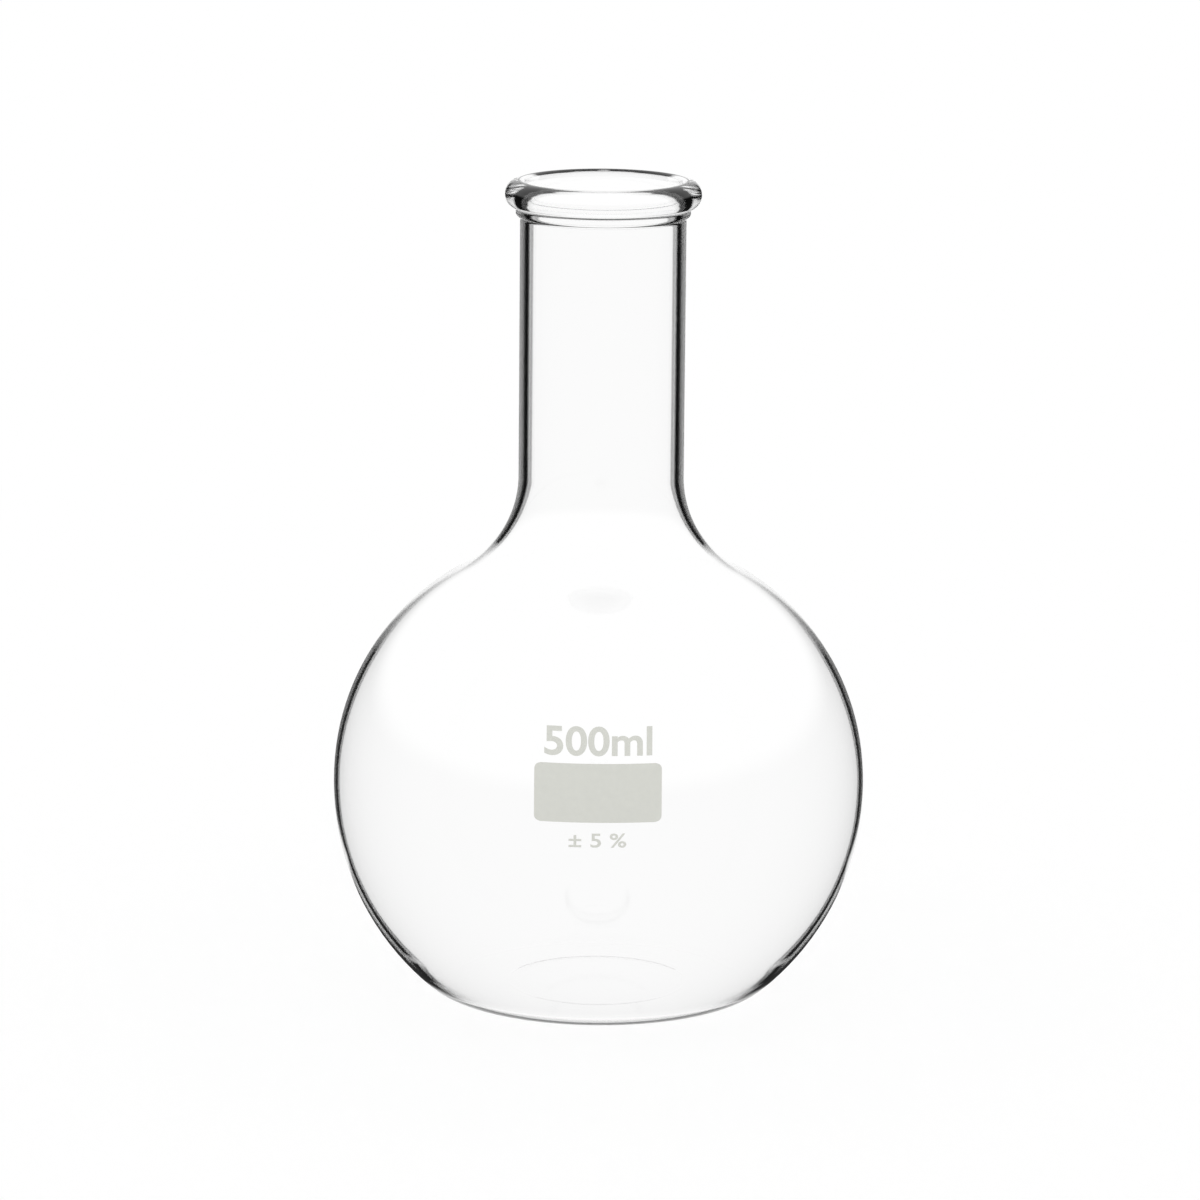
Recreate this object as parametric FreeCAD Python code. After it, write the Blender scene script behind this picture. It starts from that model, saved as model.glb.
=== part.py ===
import FreeCAD, Part
import math
import os
from collections import namedtuple

# Flat bottom flask, 500 ml, blown in one piece from clear borosilicate glass.
# Millimetres, +Z up. The origin is on the axis, where the foot meets the bench.
# The wall is one closed section of lines and tangent arcs, turned once round the axis.

# Outside of the glass
overall_height = 162.0
bulb_radius = 52.5
foot_flat_radius = 28.0
heel_round = 10.0
crown_start_deg = 8.0
crown_radius = 48.0
shoulder_blend = 21.5
neck_radius = 16.25

# Glass wall
bulb_wall = 0.65
heel_wall = 0.85
foot_wall = 1.0
thicker_below_deg = -20.0
neck_wall = 1.3
inner_heel_round = 9.15

# Push-up in the middle of the foot
push_up_radius = 18.0
push_up_rise = 1.2
push_up_edge = 6.0

# Beaded rim, and the collar under it
bead_roll = 2.8
bead_stand_out = 2.95
collar_stand_out = 0.85
collar_turn_deg = 60.0
collar_length = 0.5
under_bead_round = 0.4

# A circle of the section: its centre at (r, z) and its radius
Circle = namedtuple("Circle", "r z radius")


def direction(circle, other):
    """The angle from one circle's centre to another's. Tangent circles touch on that line."""
    return math.degrees(math.atan2(other.z - circle.z, other.r - circle.r))


def inside(circle, turn_deg, radius):
    """A smaller circle that touches the first from inside, at the given angle."""
    turn = math.radians(turn_deg)
    shift = circle.radius - radius
    return Circle(circle.r + shift * math.cos(turn), circle.z + shift * math.sin(turn), radius)


def grown(circle, amount):
    """The same centre, with a larger or smaller radius."""
    return circle._replace(radius=circle.radius + amount)


def on_floor(circle, floor_z, radius):
    """The round that stands on a level floor and touches the circle from inside."""
    z = floor_z + radius
    reach = circle.radius - radius
    return Circle(circle.r + math.sqrt(reach**2 - (circle.z - z) ** 2), z, radius)


def on_wall(circle, wall_r, radius, way):
    """The hollow round outside a circle, tangent to it and to the upright wall at wall_r.

    It lies above the circle with way 1 and below it with way -1.
    """
    r = wall_r + radius
    reach = circle.radius + radius
    return Circle(r, circle.z + way * math.sqrt(reach**2 - (r - circle.r) ** 2), radius)


# Circles of the outside. The bulb's height is where the heel can touch both foot and bulb.
bulb_height = heel_round + math.sqrt((bulb_radius - heel_round) ** 2 - foot_flat_radius**2)
bulb = Circle(0.0, bulb_height, bulb_radius)
heel = on_floor(bulb, 0.0, heel_round)
crown = inside(bulb, crown_start_deg, crown_radius)
shoulder = on_wall(crown, neck_radius, shoulder_blend, 1)
bead = Circle(neck_radius + bead_stand_out - bead_roll, overall_height - bead_roll, bead_roll)
collar_radius = neck_radius + collar_stand_out
under_bead = on_wall(bead, collar_radius, under_bead_round, -1)

# Circles of the inside. The wall is even round crown and bulb, and grows towards neck and heel.
# The lower bulb's circle leaves the even wall at thicker_below_deg and is heel_wall away at the heel.
bore_radius = neck_radius - neck_wall
mouth = inside(Circle(bead.r, bead.z, bead_roll), 90.0, bead.r - bore_radius)
inner_bulb = grown(bulb, -bulb_wall)
inner_crown = grown(crown, -bulb_wall)
inner_shoulder = on_wall(inner_crown, bore_radius, shoulder_blend + neck_wall, 1)
thicker_cosine = math.cos(math.radians(direction(bulb, heel) - thicker_below_deg))
lower_shift = (heel_wall - bulb_wall) / (1.0 - thicker_cosine)
inner_lower_bulb = inside(inner_bulb, thicker_below_deg, inner_bulb.radius - lower_shift)
inner_heel = on_floor(inner_lower_bulb, foot_wall, inner_heel_round)


def vector(r, z):
    return FreeCAD.Vector(r, 0.0, z)


def point(circle, turn_deg):
    turn = math.radians(turn_deg)
    return vector(circle.r + circle.radius * math.cos(turn), circle.z + circle.radius * math.sin(turn))


def line(start_r, start_z, end_r, end_z):
    return Part.LineSegment(vector(start_r, start_z), vector(end_r, end_z)).toShape()


def arc(circle, start_deg, end_deg):
    """The arc from one angle to the other, by way of the angle halfway between them."""
    turns = (start_deg, (start_deg + end_deg) / 2.0, end_deg)
    return Part.Arc(*[point(circle, turn) for turn in turns]).toShape()


def push_up(floor_z):
    """The shallow dome in the foot: a cap about the axis, and the round where it meets the flat.

    The cap's radius follows from its rise over the floor and from the round that it touches.
    """
    edge = Circle(push_up_radius, floor_z + push_up_edge, push_up_edge)
    cap_radius = (push_up_radius**2 + push_up_rise**2) / (2.0 * push_up_rise) - push_up_edge
    cap = Circle(0.0, floor_z + push_up_rise - cap_radius, cap_radius)
    touch_deg = direction(cap, edge)
    return [arc(cap, 90.0, touch_deg), arc(edge, touch_deg - 180.0, -90.0)]


def foot_outside():
    """Push-up, standing ring and heel."""
    ring = line(push_up_radius, 0.0, heel.r, 0.0)
    return push_up(0.0) + [ring, arc(heel, -90.0, direction(bulb, heel))]


def bulb_outside():
    """The bulb, the tighter crown that closes it, and the hollow shoulder up to the neck."""
    return [
        arc(bulb, direction(bulb, heel), crown_start_deg),
        arc(crown, crown_start_deg, direction(crown, shoulder)),
        arc(shoulder, direction(shoulder, crown) + 360.0, 180.0),
    ]


def neck_outside():
    """The straight neck, and its swelling into the collar by a hollow and a full round."""
    turn = math.radians(collar_turn_deg)
    swell = collar_stand_out / (2.0 * (1.0 - math.cos(turn)))
    collar_z = under_bead.z - collar_length
    neck_top_z = collar_z - 2.0 * swell * math.sin(turn)
    hollow = Circle(neck_radius + swell, neck_top_z, swell)
    full = Circle(collar_radius - swell, collar_z, swell)
    return [
        line(neck_radius, shoulder.z, neck_radius, neck_top_z),
        arc(hollow, 180.0, 180.0 - collar_turn_deg),
        arc(full, -collar_turn_deg, 0.0),
        line(collar_radius, collar_z, collar_radius, under_bead.z),
    ]


def rim():
    """The rolled bead, from the small hollow under it over the crest and into the mouth."""
    touch_deg = direction(bead, under_bead)
    return [
        arc(under_bead, 180.0, touch_deg + 180.0),
        arc(bead, touch_deg, 90.0),
        arc(mouth, 90.0, 180.0),
    ]


def neck_inside():
    """The straight bore, and the shoulder down to the crown."""
    return [
        line(bore_radius, mouth.z, bore_radius, inner_shoulder.z),
        arc(inner_shoulder, 180.0, direction(inner_shoulder, inner_crown) + 360.0),
    ]


def bulb_inside():
    """Crown, upper bulb, and the lower bulb where the wall thickens down to the heel."""
    heel_deg = direction(inner_lower_bulb, inner_heel)
    return [
        arc(inner_crown, direction(inner_crown, inner_shoulder), crown_start_deg),
        arc(inner_bulb, crown_start_deg, thicker_below_deg),
        arc(inner_lower_bulb, thicker_below_deg, heel_deg),
        arc(inner_heel, heel_deg, -90.0),
    ]


def foot_inside():
    """The floor of the flask, which follows the foot under it."""
    return [line(inner_heel.r, foot_wall, push_up_radius, foot_wall)] + push_up(foot_wall)


def flask():
    """The glass: its wall section, closed along the axis in the foot, turned once round."""
    edges = foot_outside() + bulb_outside() + neck_outside() + rim()
    edges += neck_inside() + bulb_inside() + foot_inside()
    edges.append(line(0.0, foot_wall + push_up_rise, 0.0, push_up_rise))
    section = Part.Face(Part.Wire(Part.__sortEdges__(edges)))
    return section.revolve(FreeCAD.Vector(0, 0, 0), FreeCAD.Vector(0, 0, 1), 360)


def main():
    os.makedirs("parts", exist_ok=True)
    flask().exportStep("parts/flask.step")


main()
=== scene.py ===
import math

import bpy
import numpy as np
from mathutils import Matrix, Vector


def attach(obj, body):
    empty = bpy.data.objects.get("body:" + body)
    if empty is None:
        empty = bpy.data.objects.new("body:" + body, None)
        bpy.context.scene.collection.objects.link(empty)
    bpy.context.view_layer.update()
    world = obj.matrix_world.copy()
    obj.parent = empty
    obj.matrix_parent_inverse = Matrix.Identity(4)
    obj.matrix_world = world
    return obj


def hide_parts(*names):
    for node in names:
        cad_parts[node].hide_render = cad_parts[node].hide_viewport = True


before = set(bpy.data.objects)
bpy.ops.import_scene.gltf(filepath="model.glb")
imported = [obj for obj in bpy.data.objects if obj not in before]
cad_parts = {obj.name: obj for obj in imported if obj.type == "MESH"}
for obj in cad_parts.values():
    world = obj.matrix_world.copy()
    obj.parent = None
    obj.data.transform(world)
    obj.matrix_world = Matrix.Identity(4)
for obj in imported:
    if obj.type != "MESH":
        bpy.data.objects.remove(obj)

# A flat bottom flask of clear blown glass, with a fired-on enamel print, on a white table.
# Metres, +Z up, the origin on the flask's axis where its foot stands.

MM = 0.001

# Camera, worked out from how the rim's and the foot's circles flatten in the photograph
PHOTO_SIDE = 1200
CAMERA_AWAY = 1.1346
CAMERA_HEIGHT = 0.3154
AIM_HEIGHT = 0.0786
FOCAL_PIXELS = 5879
CAMERA_ROLL_DEG = 0.5
SENSOR_WIDTH_MM = 36.0

# Outside of the glass
OVERALL_HEIGHT = 162.0 * MM
BULB_RADIUS = 52.5 * MM
FOOT_FLAT_RADIUS = 28.0 * MM
HEEL_ROUND = 10.0 * MM
CROWN_START_DEG = 8.0
CROWN_RADIUS = 48.0 * MM
SHOULDER_BLEND = 21.5 * MM
NECK_RADIUS = 16.25 * MM

# Glass wall
BULB_WALL = 0.65 * MM
HEEL_WALL = 0.85 * MM
THICKER_BELOW_DEG = -20.0
FOOT_WALL = 1.0 * MM
NECK_WALL = 1.3 * MM
INNER_HEEL_ROUND = 9.15 * MM

# Push-up in the foot
PUSH_UP_RADIUS = 18.0 * MM
PUSH_UP_RISE = 1.2 * MM
PUSH_UP_EDGE = 6.0 * MM

# Beaded rim and collar
BEAD_ROLL = 2.8 * MM
BEAD_STAND_OUT = 2.95 * MM
COLLAR_STAND_OUT = 0.85 * MM
COLLAR_TURN_DEG = 60.0
COLLAR_LENGTH = 0.5 * MM
UNDER_BEAD_ROUND = 0.4 * MM

# How finely the glass is turned, and how finely the print is cut
TURNS = 256
ARC_STEP_DEG = 2.5
DOME_POINTS = 13
SAME_POINT = 1e-6
PANEL_ROWS, PANEL_COLUMNS = 48, 64
FIGURE_CURVE_STEPS = 6

# Enamel print: places are latitudes on the bulb, sizes are lengths along the glass
PRINT_LIFT = 0.03 * MM
PRINT_ASIDE = -0.08 * MM
PANEL_WIDTH = 24.45 * MM
PANEL_HEIGHT = 11.2 * MM
PANEL_CORNER = 1.2 * MM
PANEL_LATITUDE_DEG = 10.9
# The two lines of figures: name, words, latitude, letter height, width of the line, added weight
FIGURES = (
    ("volume_mark", "500ml", 21.7, 5.75 * MM, 20.65 * MM, 0.04),
    ("tolerance_mark", "\u00b1 5 %", 1.05, 2.8 * MM, 11.0 * MM, 0.03),
)
ENAMEL = (0.665, 0.672, 0.624)


class Circle:
    """A circle of the wall's section: centre at (r, z), and radius."""

    def __init__(self, r, z, radius):
        self.r = r
        self.z = z
        self.radius = radius

    def toward(self, other):
        return math.degrees(math.atan2(other.z - self.z, other.r - self.r))

    def inside(self, turn_deg, radius):
        """A smaller circle that touches this one from inside at an angle."""
        turn = math.radians(turn_deg)
        shift = self.radius - radius
        return Circle(self.r + shift * math.cos(turn), self.z + shift * math.sin(turn), radius)

    def on_floor(self, floor_z, radius):
        """The round that stands on a level floor and touches this circle from inside."""
        z = floor_z + radius
        reach = self.radius - radius
        return Circle(self.r + math.sqrt(reach**2 - (self.z - z) ** 2), z, radius)

    def on_wall(self, wall_r, radius, way):
        """The hollow round outside this circle, tangent to it and to the upright wall at wall_r."""
        r = wall_r + radius
        reach = self.radius + radius
        return Circle(r, self.z + way * math.sqrt(reach**2 - (r - self.r) ** 2), radius)

    def arc(self, start_deg, end_deg):
        """Points (r, z) from one angle to the other: centre plus radius times cosine and sine."""
        count = max(4, math.ceil(abs(end_deg - start_deg) / ARC_STEP_DEG)) + 1
        turns = np.radians(np.linspace(start_deg, end_deg, count))
        r = self.r + self.radius * np.cos(turns)
        z = self.z + self.radius * np.sin(turns)
        return np.stack([r, z], 1)


def push_up(floor_z):
    """The dome in the foot, from the axis out to the flat: a cap and the round at its edge."""
    edge = Circle(PUSH_UP_RADIUS, floor_z + PUSH_UP_EDGE, PUSH_UP_EDGE)
    cap_radius = (PUSH_UP_RADIUS**2 + PUSH_UP_RISE**2) / (2 * PUSH_UP_RISE) - PUSH_UP_EDGE
    cap = Circle(0.0, floor_z + PUSH_UP_RISE - cap_radius, cap_radius)
    touch = cap.toward(edge)
    turns = np.radians(np.linspace(90.0, touch, DOME_POINTS))
    dome = np.stack([cap.radius * np.cos(turns), cap.z + cap.radius * np.sin(turns)], 1)
    dome[0, 0] = 0.0
    return [dome, edge.arc(touch - 180.0, -90.0)]


def wall_section():
    """The closed wall's section as points (r, z), and the bulb's circle.

    It runs from the axis under the foot up the outside, over the rim and down the inside to the
    axis again. Each stretch is an arc or a straight line tangent to the next.
    """
    bulb_height = HEEL_ROUND + math.sqrt((BULB_RADIUS - HEEL_ROUND) ** 2 - FOOT_FLAT_RADIUS**2)
    bulb = Circle(0.0, bulb_height, BULB_RADIUS)
    heel = bulb.on_floor(0.0, HEEL_ROUND)
    crown = bulb.inside(CROWN_START_DEG, CROWN_RADIUS)
    shoulder = crown.on_wall(NECK_RADIUS, SHOULDER_BLEND, 1)
    bead = Circle(NECK_RADIUS + BEAD_STAND_OUT - BEAD_ROLL, OVERALL_HEIGHT - BEAD_ROLL, BEAD_ROLL)
    collar_radius = NECK_RADIUS + COLLAR_STAND_OUT
    under_bead = bead.on_wall(collar_radius, UNDER_BEAD_ROUND, -1)
    outside = push_up(0.0)
    outside.append(heel.arc(-90.0, bulb.toward(heel)))
    outside.append(bulb.arc(bulb.toward(heel), CROWN_START_DEG))
    outside.append(crown.arc(CROWN_START_DEG, crown.toward(shoulder)))
    outside.append(shoulder.arc(shoulder.toward(crown) + 360.0, 180.0))
    turn = math.radians(COLLAR_TURN_DEG)
    swell = COLLAR_STAND_OUT / (2 * (1 - math.cos(turn)))
    collar_z = under_bead.z - COLLAR_LENGTH
    hollow = Circle(NECK_RADIUS + swell, collar_z - 2 * swell * math.sin(turn), swell)
    full = Circle(collar_radius - swell, collar_z, swell)
    outside.append(hollow.arc(180.0, 180.0 - COLLAR_TURN_DEG))
    outside.append(full.arc(-COLLAR_TURN_DEG, 0.0))
    touch = bead.toward(under_bead)
    outside.append(under_bead.arc(180.0, touch + 180.0))
    outside.append(bead.arc(touch, 90.0))

    bore = NECK_RADIUS - NECK_WALL
    mouth = bead.inside(90.0, bead.r - bore)
    inner_bulb = Circle(bulb.r, bulb.z, bulb.radius - BULB_WALL)
    inner_crown = Circle(crown.r, crown.z, crown.radius - BULB_WALL)
    inner_shoulder = inner_crown.on_wall(bore, SHOULDER_BLEND + NECK_WALL, 1)
    thicker = math.cos(math.radians(bulb.toward(heel) - THICKER_BELOW_DEG))
    lower_shift = (HEEL_WALL - BULB_WALL) / (1 - thicker)
    lower = inner_bulb.inside(THICKER_BELOW_DEG, inner_bulb.radius - lower_shift)
    inner_heel = lower.on_floor(FOOT_WALL, INNER_HEEL_ROUND)
    inside = [mouth.arc(90.0, 180.0)]
    inside.append(inner_shoulder.arc(180.0, inner_shoulder.toward(inner_crown) + 360.0))
    inside.append(inner_crown.arc(inner_crown.toward(inner_shoulder), CROWN_START_DEG))
    inside.append(inner_bulb.arc(CROWN_START_DEG, THICKER_BELOW_DEG))
    inside.append(lower.arc(THICKER_BELOW_DEG, lower.toward(inner_heel)))
    inside.append(inner_heel.arc(lower.toward(inner_heel), -90.0))
    inside += [stretch[::-1] for stretch in push_up(FOOT_WALL)[::-1]]
    return np.concatenate(outside + inside), bulb


def without_doubles(points):
    """The points of a path, each kept only where it differs from the one before it."""
    steps = np.linalg.norm(np.diff(points, axis=0), axis=1)
    keep = np.concatenate([[True], steps > SAME_POINT])
    return points[keep]


def mesh_object(name, verts, faces, smooth=True):
    mesh = bpy.data.meshes.new(name)
    mesh.from_pydata(verts.tolist(), [], faces)
    mesh.validate()
    mesh.polygons.foreach_set("use_smooth", [smooth] * len(mesh.polygons))
    mesh.update()
    obj = bpy.data.objects.new(name, mesh)
    bpy.context.scene.collection.objects.link(obj)
    return obj


def turned(name, section, rings_of):
    """A closed section turned round the Z axis: x = r cos a, y = r sin a, z = z.

    The section's two ends lie on the axis, and each is one point that its ring of triangles meets.
    Each value of rings_of, one for each point of the section, goes round that point's whole ring.
    """
    rings = section[1:-1]
    angles = np.linspace(0.0, 2 * math.pi, TURNS, endpoint=False)
    x = rings[:, 0][:, None] * np.cos(angles)
    y = rings[:, 0][:, None] * np.sin(angles)
    z = np.repeat(rings[:, 1][:, None], TURNS, axis=1)
    body = np.stack([x, y, z], 2).reshape(-1, 3)
    poles = np.array([[0.0, 0.0, section[0, 1]], [0.0, 0.0, section[-1, 1]]])
    verts = np.concatenate([body, poles])
    row, column = np.meshgrid(np.arange(len(rings) - 1), np.arange(TURNS), indexing="ij")
    after = (column + 1) % TURNS
    low, high = row * TURNS, (row + 1) * TURNS
    quads = np.stack([low + column, low + after, high + after, high + column], 2).reshape(-1, 4)
    ring = np.arange(TURNS)
    ring_after = (ring + 1) % TURNS
    last = (len(rings) - 1) * TURNS
    first_fan = np.stack([np.full(TURNS, len(body)), ring_after, ring], 1)
    last_fan = np.stack([np.full(TURNS, len(body) + 1), last + ring, last + ring_after], 1)
    obj = mesh_object(name, verts, quads.tolist() + first_fan.tolist() + last_fan.tolist())
    for key, values in rings_of.items():
        layer = obj.data.attributes.new(key, "FLOAT", "POINT")
        round_rings = np.repeat(values[1:-1], TURNS)
        layer.data.foreach_set("value", np.concatenate([round_rings, values[[0, -1]]]))
    return obj


def painted_edge_shade(section, crest):
    """Where the wall's dark line of painted shade lies, and how strong it is, for each point of the
    section.

    Its depth is the cosine at which a ray meets the outside of the glass when it just grazes the
    inside. With the wall w thick, the radius r and the outside's tilt t from upright, it is the
    root of 1 - (1 - w cos t / r)^2. All values are 0 on the inside, but for the mouth. The rim and
    the mouth take their cosine from RIM_EDGE_SHADE and MOUTH_EDGE_SHADE instead.
    """
    outside, inside = section[: crest + 1], section[crest:]
    runs = np.diff(inside, axis=0)
    gaps = outside[:, None, :] - inside[None, :-1, :]
    share = np.clip((gaps * runs).sum(2) / (runs**2).sum(1), 0.0, 1.0)
    wall = np.sqrt(((gaps - share[:, :, None] * runs) ** 2).sum(2)).min(1)
    height, *by_height = np.array(EDGE_SHADE_BY_HEIGHT).T
    strength, width, clear = (np.interp(outside[:, 1] / MM, height, values) for values in by_height)
    wall *= width
    way = np.gradient(outside, axis=0)
    upright = np.clip(way[:, 1] / np.linalg.norm(way, axis=1), 0.0, 1.0)
    share = np.clip(wall * upright / np.maximum(outside[:, 0], MM), 0.0, 1.0)
    depth = np.sqrt(1.0 - (1.0 - share) ** 2)
    none = np.zeros(len(inside) - 1)
    values = [np.concatenate([part, none]) for part in (depth, strength, clear)]
    for rings, line in ((slice(0, crest), RIM_EDGE_SHADE), (slice(crest, len(section)), MOUTH_EDGE_SHADE)):
        height, core = np.array(line).T
        z = section[rings, 1] / MM
        for value, given in zip(values, (np.interp(z, height, core), RIM_SHADE_STRENGTH, 1.0)):
            value[rings] = np.where(z > height[0], given, value[rings])
    return dict(zip(("edge_shade_depth", "edge_shade_strength", "edge_shade_cleared"), values))


def on_bulb(bulb, latitude_deg, across, up):
    """Points of the print, laid on the bulb just proud of the glass.

    Their places are lengths along the glass: up from a latitude, and across from the front. A
    length over the radius is an angle, and across that is the radius of the latitude's circle.
    """
    latitude = math.radians(latitude_deg) + up / bulb.radius
    longitude = across / (bulb.radius * np.cos(latitude))
    reach = bulb.radius + PRINT_LIFT
    return np.stack(
        [
            reach * np.cos(latitude) * np.sin(longitude),
            -reach * np.cos(latitude) * np.cos(longitude),
            bulb.z + reach * np.sin(latitude),
        ],
        -1,
    )


def marking_panel(bulb):
    """The blank panel for a pencil mark: a rounded rectangle, laid on the bulb.

    Each row runs between the rectangle's two sides, which draw in round the corners as
    corner minus the root of corner squared minus the height above the corner's centre squared.
    """
    rows, columns = PANEL_ROWS, PANEL_COLUMNS
    up = np.linspace(-PANEL_HEIGHT / 2, PANEL_HEIGHT / 2, rows)
    over = np.clip(np.abs(up) - (PANEL_HEIGHT / 2 - PANEL_CORNER), 0.0, PANEL_CORNER)
    half = PANEL_WIDTH / 2 - PANEL_CORNER + np.sqrt(PANEL_CORNER**2 - over**2)
    share = np.linspace(-1.0, 1.0, columns)
    across = half[:, None] * share + PRINT_ASIDE
    up = np.repeat(up[:, None], columns, axis=1)
    verts = on_bulb(bulb, PANEL_LATITUDE_DEG, across, up).reshape(-1, 3)
    row, column = np.meshgrid(np.arange(rows - 1), np.arange(columns - 1), indexing="ij")
    corner = row * columns + column
    above = corner + columns
    quads = np.stack([corner, corner + 1, above + 1, above], 2).reshape(-1, 4)
    return mesh_object("marking_panel", verts, quads.tolist())


def figures(bulb, name, body, latitude_deg, height, width, weight):
    """A line of figures: flat type, scaled to its height and width, and laid on the bulb."""
    words = bpy.data.curves.new(name, "FONT")
    words.body = body
    words.size = 1.0
    words.offset = weight * 0.5
    words.resolution_u = FIGURE_CURVE_STEPS
    flat = bpy.data.objects.new(name + "_flat", words)
    bpy.context.scene.collection.objects.link(flat)
    bpy.context.view_layer.update()
    graph = bpy.context.evaluated_depsgraph_get()
    shape = bpy.data.meshes.new_from_object(flat.evaluated_get(graph))
    bpy.data.objects.remove(flat)
    points = np.empty(len(shape.vertices) * 3)
    shape.vertices.foreach_get("co", points)
    points = points.reshape(-1, 3)
    low, high = points.min(0), points.max(0)
    across = (points[:, 0] - (low[0] + high[0]) / 2) * width / (high[0] - low[0])
    up = (points[:, 1] - (low[1] + high[1]) / 2) * height / (high[1] - low[1])
    laid = on_bulb(bulb, latitude_deg, across + PRINT_ASIDE, up)
    faces = [tuple(face.vertices) for face in shape.polygons]
    bpy.data.meshes.remove(shape)
    return mesh_object(name, laid, faces, smooth=False)


def principled(name):
    material = bpy.data.materials.new(name)
    material.use_nodes = True
    return material, material.node_tree.nodes, material.node_tree.links


def maths(nodes, links, operation, *values):
    """One Math node. Each input is a socket or a number."""
    node = nodes.new("ShaderNodeMath")
    node.operation = operation
    for slot, value in enumerate(values):
        if isinstance(value, (int, float)):
            node.inputs[slot].default_value = value
        else:
            links.new(value, node.inputs[slot])
    return node.outputs[0]


def blend(nodes, links, share, first, second):
    """A grey or colour between two: each is a socket or a plain grey."""
    node = nodes.new("ShaderNodeMix")
    node.data_type = "RGBA"
    links.new(share, node.inputs["Factor"])
    for name, value in (("A", first), ("B", second)):
        if isinstance(value, (int, float)):
            node.inputs[name].default_value = (value, value, value, 1.0)
        else:
            links.new(value, node.inputs[name])
    return node.outputs["Result"]


def between(nodes, links, value, low, high):
    """A smooth step from 0 at low to 1 at high."""
    node = nodes.new("ShaderNodeMapRange")
    node.interpolation_type = "SMOOTHSTEP"
    links.new(value, node.inputs["Value"])
    node.inputs["From Min"].default_value = low
    node.inputs["From Max"].default_value = high
    return node.outputs["Result"]


# Painted shade along the glass's edges, as a grey that darkens its colour where it is seen edge on:
# pairs of the ray's cosine over the wall's line depth, and the square root of the grey. The line's
# core is where that ratio is 1.
# These tables were set to bring the tones at the glass's edges close to the real ones.
EDGE_SHADE_GREYS = (
    (0.00, 0.75),
    (0.48, 0.55),
    (0.64, 0.36),
    (0.77, 0.25),
    (0.84, 0.08),
    (0.92, 0.01),
    (1.04, 0.00),
    (1.08, 0.06),
    (1.13, 0.34),
    (1.17, 0.55),
    (1.26, 0.50),
    (1.29, 0.56),
    (1.34, 0.95),
    (1.46, 1.00),
)
# The painted shade of the line by height in mm: its strength, its width in walls, and how clear the
# glass outside its core is. The white table lights the heel, and light from above fills the line
# round the crown.
EDGE_SHADE_BY_HEIGHT = (
    (6.3, 0.0, 1.2, 0.0),
    (6.7, 2.2, 1.2, 0.0),
    (8.6, 2.2, 1.25, 0.0),
    (9.6, 0.7, 1.7, 0.9),
    (11.0, 0.6, 1.9, 1.0),
    (13.0, 1.4, 1.8, 1.0),
    (16.0, 1.7, 1.65, 1.0),
    (21.0, 1.6, 1.4, 0.8),
    (28.0, 1.4, 1.2, 0.3),
    (36.0, 1.3, 1.05, 0.0),
    (48.0, 1.3, 1.03, 0.0),
    (61.0, 1.2, 1.38, 0.0),
    (69.0, 1.0, 1.45, 0.0),
    (77.0, 0.65, 1.15, 0.0),
    (84.0, 0.2, 1.1, 0.0),
    (88.0, 0.05, 1.0, 0.0),
    (90.0, 0.7, 1.0, 0.0),
    (92.0, 1.5, 1.0, 0.0),
    (104.0, 1.2, 1.12, 0.0),
    (156.8, 1.2, 1.12, 0.0),
    (157.0, 0.0, 1.12, 0.0),
)
# Where the painted line's core begins and where it is full, as the ray's cosine over the line depth
CORE_FROM, CORE_FULL = 0.74, 0.90
# The painted shade of the rim's dark flanks, outside and in the mouth: pairs of height in mm and
# the core's cosine
RIM_EDGE_SHADE = (
    (157.3, 0.28),
    (157.6, 0.33),
    (158.6, 0.45),
    (159.8, 0.52),
    (160.7, 0.52),
    (161.4, 0.48),
    (161.8, 0.36),
    (161.9, 0.30),
    (162.0, 0.14),
)
MOUTH_EDGE_SHADE = (
    (161.5, 0.59),
    (161.6, 0.55),
    (161.88, 0.39),
    (161.97, 0.27),
    (162.0, 0.15),
)
# How strongly the painted shade darkens the rim and the mouth
RIM_SHADE_STRENGTH = 4.0
LEAST_DEPTH = 0.001
GLASS_IOR = 1.473


def ramp_of(nodes, links, value, stops):
    """A colour ramp of the stops (place, root of the grey), from 0 up to the last stop."""
    reach = stops[-1][0]
    ramp = nodes.new("ShaderNodeValToRGB")
    links.new(maths(nodes, links, "DIVIDE", value, reach), ramp.inputs["Fac"])
    marks = ramp.color_ramp.elements
    for place, _ in stops[1:-1]:
        marks.new(place / reach)
    for mark, (place, root) in zip(marks, stops):
        grey = root**2
        mark.position = place / reach
        mark.color = (grey, grey, grey, 1.0)
    return ramp.outputs["Color"]


def ring_value(nodes, key):
    """A value that the glass's rings carry."""
    node = nodes.new("ShaderNodeAttribute")
    node.attribute_name = key
    return node.outputs["Fac"]


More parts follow.
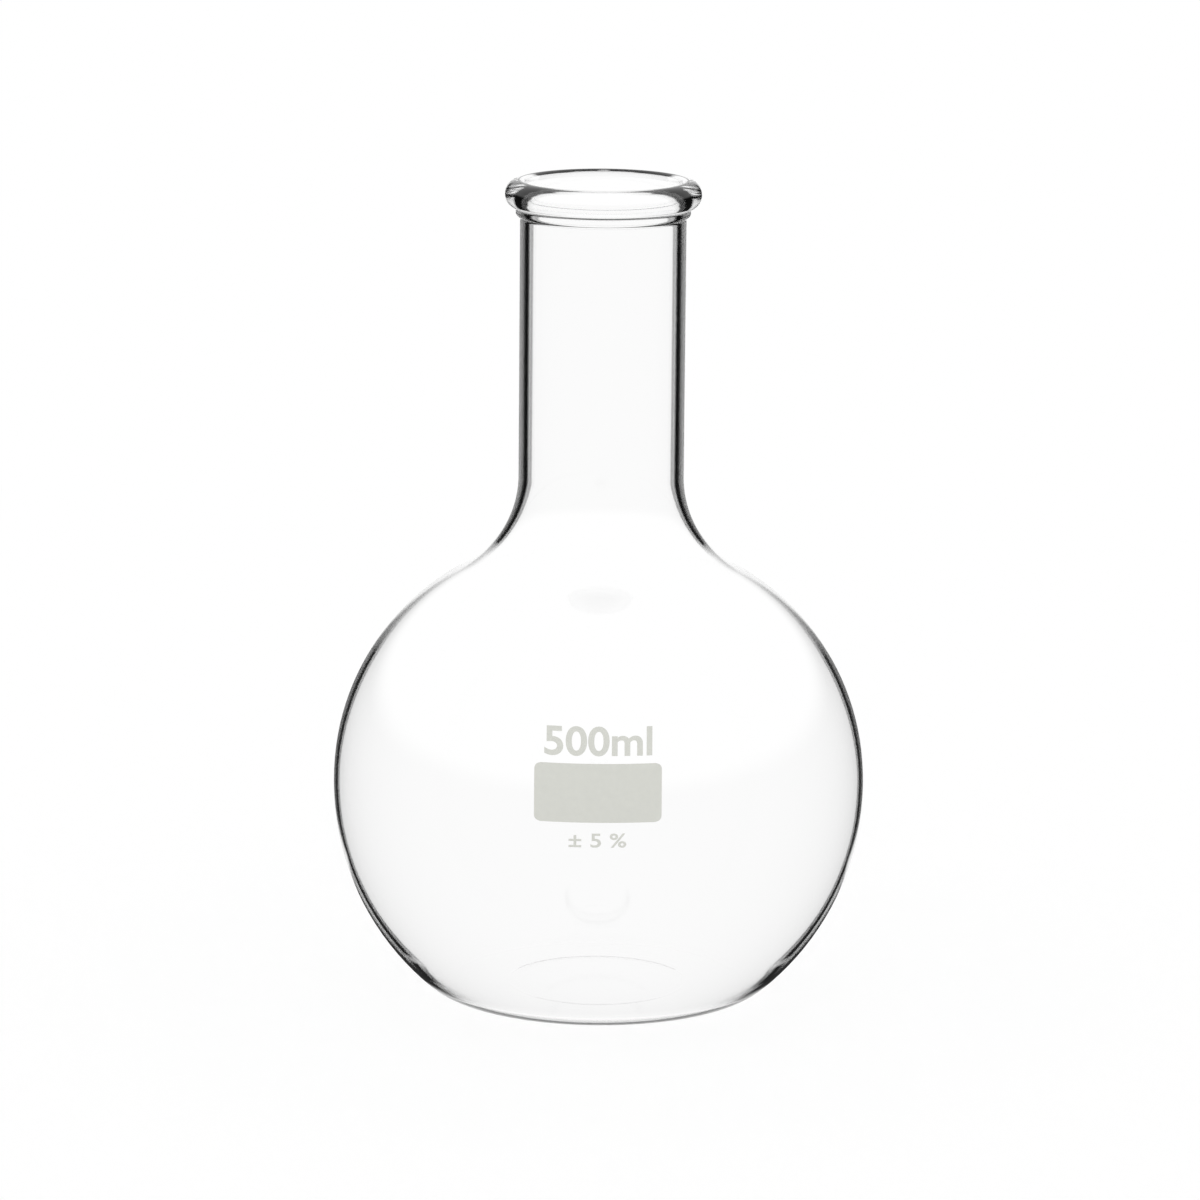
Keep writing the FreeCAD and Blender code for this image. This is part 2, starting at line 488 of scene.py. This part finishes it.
def clear_glass():
    """Clear glass, with a dark line of painted shade along the wall's edges, as thick clear glass
    shows.

    The line is painted shade: the glass's colour is darkened by how edge-on the glass is seen. On
    the rim it acts only on the surface that the eye meets first. It is set for a low view, and too
    dark on the rim from high above.
    """
    material, nodes, links = principled("clear borosilicate glass")
    glass = nodes["Principled BSDF"]
    edge_on = nodes.new("ShaderNodeLayerWeight")
    edge_on.inputs["Blend"].default_value = 0.5
    cosine = maths(nodes, links, "SUBTRACT", 1.0, edge_on.outputs["Facing"])
    keys = ("edge_shade_depth", "edge_shade_strength", "edge_shade_cleared")
    depth, strength, clear = (ring_value(nodes, key) for key in keys)
    depth = maths(nodes, links, "MAXIMUM", depth, LEAST_DEPTH)
    over = maths(nodes, links, "DIVIDE", cosine, depth)
    # Painted shade: the grey that darkens the glass's colour along its edges.
    through = ramp_of(nodes, links, over, EDGE_SHADE_GREYS)
    darker = maths(nodes, links, "POWER", through, maths(nodes, links, "MAXIMUM", strength, 1.0))
    core = between(nodes, links, over, CORE_FROM, CORE_FULL)
    cleared = maths(nodes, links, "MULTIPLY", clear, maths(nodes, links, "SUBTRACT", 1.0, core))
    share = maths(nodes, links, "MINIMUM", strength, 1.0)
    share = maths(nodes, links, "MULTIPLY", share, maths(nodes, links, "SUBTRACT", 1.0, cleared))
    place, path = nodes.new("ShaderNodeTexCoord"), nodes.new("ShaderNodeLightPath")
    axes = nodes.new("ShaderNodeSeparateXYZ")
    links.new(place.outputs["Object"], axes.inputs[0])
    under_rim = maths(nodes, links, "LESS_THAN", axes.outputs["Z"], RIM_EDGE_SHADE[0][0] * MM)
    met_first = maths(nodes, links, "MAXIMUM", under_rim, path.outputs["Is Camera Ray"])
    share = maths(nodes, links, "MULTIPLY", share, met_first)
    links.new(blend(nodes, links, share, 1.0, darker), glass.inputs["Base Color"])
    glass.inputs["Roughness"].default_value = 0.0
    glass.inputs["IOR"].default_value = GLASS_IOR
    glass.inputs["Transmission Weight"].default_value = 1.0
    return material


# The enamel's mottle and grain
CLOUD_SCALE, CLOUD_DETAIL = 900.0, 4.0
GRAIN_SCALE, GRAIN_DETAIL = 6000.0, 2.0
MOTTLE = 0.035
ROUGHNESS_FROM, ROUGHNESS_BY_GRAIN = 0.42, 0.25
UNEVEN_STRENGTH = 0.25
UNEVEN_DEPTH = 0.02 * MM


def fired_enamel():
    """Pale enamel, fired on: finely mottled, slightly rough, and a little uneven."""
    material, nodes, links = principled("fired enamel")
    enamel = nodes["Principled BSDF"]
    place = nodes.new("ShaderNodeTexCoord")
    cloudy = nodes.new("ShaderNodeTexNoise")
    cloudy.inputs["Scale"].default_value = CLOUD_SCALE
    cloudy.inputs["Detail"].default_value = CLOUD_DETAIL
    grain = nodes.new("ShaderNodeTexNoise")
    grain.inputs["Scale"].default_value = GRAIN_SCALE
    grain.inputs["Detail"].default_value = GRAIN_DETAIL
    for noise in (cloudy, grain):
        links.new(place.outputs["Object"], noise.inputs["Vector"])
    mottle = nodes.new("ShaderNodeMix")
    mottle.data_type = "RGBA"
    links.new(cloudy.outputs["Fac"], mottle.inputs["Factor"])
    for name, shade in (("A", 1.0 - MOTTLE), ("B", 1.0 + MOTTLE)):
        mottle.inputs[name].default_value = (*[part * shade for part in ENAMEL], 1.0)
    links.new(mottle.outputs["Result"], enamel.inputs["Base Color"])
    speckled = (grain.outputs["Fac"], ROUGHNESS_BY_GRAIN, ROUGHNESS_FROM)
    links.new(maths(nodes, links, "MULTIPLY_ADD", *speckled), enamel.inputs["Roughness"])
    uneven = nodes.new("ShaderNodeBump")
    uneven.inputs["Strength"].default_value = UNEVEN_STRENGTH
    uneven.inputs["Distance"].default_value = UNEVEN_DEPTH
    links.new(grain.outputs["Fac"], uneven.inputs["Height"])
    links.new(uneven.outputs["Normal"], enamel.inputs["Normal"])
    return material


# The studio. All that shows through the glass is white. The outside of the glass reflects a dim
# room with a white ceiling, a white sheet that comes up from the table behind the flask, a white
# strip of table that runs back from the flask, and the white table close round the foot.
DIM_ROOM = 0.05
CEILING_FROM_DEG = 5.0
CEILING_FULL_DEG = 16.0
SHEET_FROM, SHEET_TO = 0.34, 0.42
SHEET_INSIDE_DEG, SHEET_OUTSIDE_DEG = 10.0, 15.0
STRIP_FROM, STRIP_TO = 0.060, 0.075
STRIP_INSIDE, STRIP_OUTSIDE = 0.075, 0.085
NEAR_FROM, NEAR_TO = 0.033, 0.0355
TABLE_COLOUR = 0.8
TABLE_HALF = 4.0
TABLE_GAP = 0.03 * MM
SHADOW_RADIUS = 0.30
SHADOW_FADE = 0.55
LEAST_REACH = 0.0001
LIGHT_BOUNCES, GLOSSY_BOUNCES, GLASS_BOUNCES = 20, 8, 16


def reflected(nodes, links):
    """1 for light that the outside of the glass reflects to the eye, 0 for all other light."""
    path = nodes.new("ShaderNodeLightPath")
    thrown = maths(nodes, links, "GREATER_THAN", path.outputs["Glossy Depth"], 0.5)
    outside = maths(nodes, links, "LESS_THAN", path.outputs["Transmission Depth"], 0.5)
    straight = maths(nodes, links, "LESS_THAN", path.outputs["Diffuse Depth"], 0.5)
    thrown = maths(nodes, links, "MULTIPLY", thrown, outside)
    return maths(nodes, links, "MULTIPLY", thrown, straight)


def before_sheet(nodes, links, axes):
    """1 where the white sheet stands as seen from the flask, 0 to its left and right."""
    back = maths(nodes, links, "MAXIMUM", axes.outputs["Y"], LEAST_REACH)
    aside = maths(nodes, links, "DIVIDE", maths(nodes, links, "ABSOLUTE", axes.outputs["X"]), back)
    edges = (math.tan(math.radians(deg)) for deg in (SHEET_INSIDE_DEG, SHEET_OUTSIDE_DEG))
    return maths(nodes, links, "SUBTRACT", 1.0, between(nodes, links, aside, *edges))


def white_room():
    """White all round, but for what the outside of the glass reflects.

    That is a dim room, white only at its ceiling and at the sheet behind the flask.
    """
    world = bpy.data.worlds.new("white room")
    bpy.context.scene.world = world
    world.use_nodes = True
    nodes, links = world.node_tree.nodes, world.node_tree.links
    background = nodes["Background"]
    place = nodes.new("ShaderNodeTexCoord")
    axes = nodes.new("ShaderNodeSeparateXYZ")
    links.new(place.outputs["Generated"], axes.inputs[0])
    low, high = (math.sin(math.radians(deg)) for deg in (CEILING_FROM_DEG, CEILING_FULL_DEG))
    ceiling = between(nodes, links, axes.outputs["Z"], low, high)
    white = maths(nodes, links, "MAXIMUM", ceiling, before_sheet(nodes, links, axes))
    room = blend(nodes, links, white, DIM_ROOM, 1.0)
    shown = blend(nodes, links, reflected(nodes, links), 1.0, room)
    links.new(shown, background.inputs["Color"])
    background.inputs["Strength"].default_value = 1.0


def table():
    """A level white table, which shows white to the eye and keeps the flask's soft shadow."""
    corners = [[-1.0, -1.0, 0.0], [1.0, -1.0, 0.0], [1.0, 1.0, 0.0], [-1.0, 1.0, 0.0]]
    corners = np.array(corners) * TABLE_HALF
    corners[:, 2] = -TABLE_GAP
    obj = mesh_object("table", corners, [(0, 1, 2, 3)], smooth=False)
    material, nodes, links = principled("white table")
    nodes.remove(nodes["Principled BSDF"])
    output = nodes["Material Output"]
    place = nodes.new("ShaderNodeTexCoord")
    distance = nodes.new("ShaderNodeVectorMath")
    distance.operation = "LENGTH"
    links.new(place.outputs["Object"], distance.inputs[0])

    cloth = nodes.new("ShaderNodeBsdfDiffuse")
    cloth.inputs["Color"].default_value = (TABLE_COLOUR,) * 3 + (1.0,)
    rest = nodes.new("ShaderNodeEmission")
    rest.inputs["Color"].default_value = (1.0 - TABLE_COLOUR,) * 3 + (1.0,)
    near = nodes.new("ShaderNodeAddShader")
    links.new(cloth.outputs[0], near.inputs[0])
    links.new(rest.outputs[0], near.inputs[1])
    far = nodes.new("ShaderNodeEmission")
    lit = nodes.new("ShaderNodeMixShader")
    path = nodes.new("ShaderNodeLightPath")
    beyond = between(nodes, links, distance.outputs["Value"], SHADOW_RADIUS, SHADOW_FADE)
    plain = maths(nodes, links, "MAXIMUM", beyond, path.outputs["Is Transmission Ray"])
    links.new(plain, lit.inputs[0])
    links.new(near.outputs[0], lit.inputs[1])
    links.new(far.outputs[0], lit.inputs[2])

    axes = nodes.new("ShaderNodeSeparateXYZ")
    links.new(place.outputs["Object"], axes.inputs[0])
    back = axes.outputs["Y"]
    sheet = between(nodes, links, back, SHEET_FROM, SHEET_TO)
    sheet = maths(nodes, links, "MULTIPLY", sheet, before_sheet(nodes, links, axes))
    aside = maths(nodes, links, "ABSOLUTE", axes.outputs["X"])
    beside = between(nodes, links, aside, STRIP_INSIDE, STRIP_OUTSIDE)
    strip = maths(nodes, links, "SUBTRACT", 1.0, beside)
    behind = between(nodes, links, back, STRIP_FROM, STRIP_TO)
    strip = maths(nodes, links, "MULTIPLY", strip, behind)
    white = maths(nodes, links, "MAXIMUM", sheet, strip)
    far_off = between(nodes, links, distance.outputs["Value"], NEAR_FROM, NEAR_TO)
    dark = maths(nodes, links, "SUBTRACT", 1.0, white)
    away = maths(nodes, links, "MULTIPLY", far_off, dark)
    room = nodes.new("ShaderNodeEmission")
    links.new(blend(nodes, links, away, 1.0, DIM_ROOM), room.inputs["Color"])
    shown = nodes.new("ShaderNodeMixShader")
    links.new(reflected(nodes, links), shown.inputs[0])
    links.new(lit.outputs[0], shown.inputs[1])
    links.new(room.outputs[0], shown.inputs[2])
    links.new(shown.outputs[0], output.inputs["Surface"])
    obj.data.materials.append(material)


def camera():
    """The photograph's view: its place, what it aims at, and its slight roll."""
    data = bpy.data.cameras.new("camera")
    data.sensor_width = SENSOR_WIDTH_MM
    data.lens = FOCAL_PIXELS / PHOTO_SIDE * SENSOR_WIDTH_MM
    obj = bpy.data.objects.new("camera", data)
    bpy.context.scene.collection.objects.link(obj)
    spot = Vector((0.0, -CAMERA_AWAY, CAMERA_HEIGHT))
    aim = Vector((0.0, 0.0, AIM_HEIGHT))
    look = (aim - spot).to_track_quat("-Z", "Y").to_matrix().to_4x4()
    roll = Matrix.Rotation(math.radians(CAMERA_ROLL_DEG), 4, "Z")
    obj.matrix_world = Matrix.Translation(spot) @ look @ roll
    bpy.context.scene.camera = obj


def main():
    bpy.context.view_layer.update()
    bpy.context.scene.view_settings.view_transform = "Standard"
    bpy.context.scene.cycles.max_bounces = LIGHT_BOUNCES
    bpy.context.scene.cycles.glossy_bounces = GLOSSY_BOUNCES
    bpy.context.scene.cycles.transmission_bounces = GLASS_BOUNCES
    bpy.context.scene.cycles.blur_glossy = 0.0

    section, bulb = wall_section()
    section = without_doubles(section)
    crest = int(section[:, 1].argmax())
    # The rings carry where the glass's painted edge shade lies, and how strong it is.
    glass = turned("flask_glass", section, painted_edge_shade(section, crest))
    glass.data.materials.append(clear_glass())
    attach(glass, "root")
    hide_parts("flask")

    enamel = fired_enamel()
    for piece in [marking_panel(bulb)] + [figures(bulb, *line) for line in FIGURES]:
        piece.data.materials.append(enamel)
        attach(piece, "root")

    white_room()
    table()
    camera()


main()
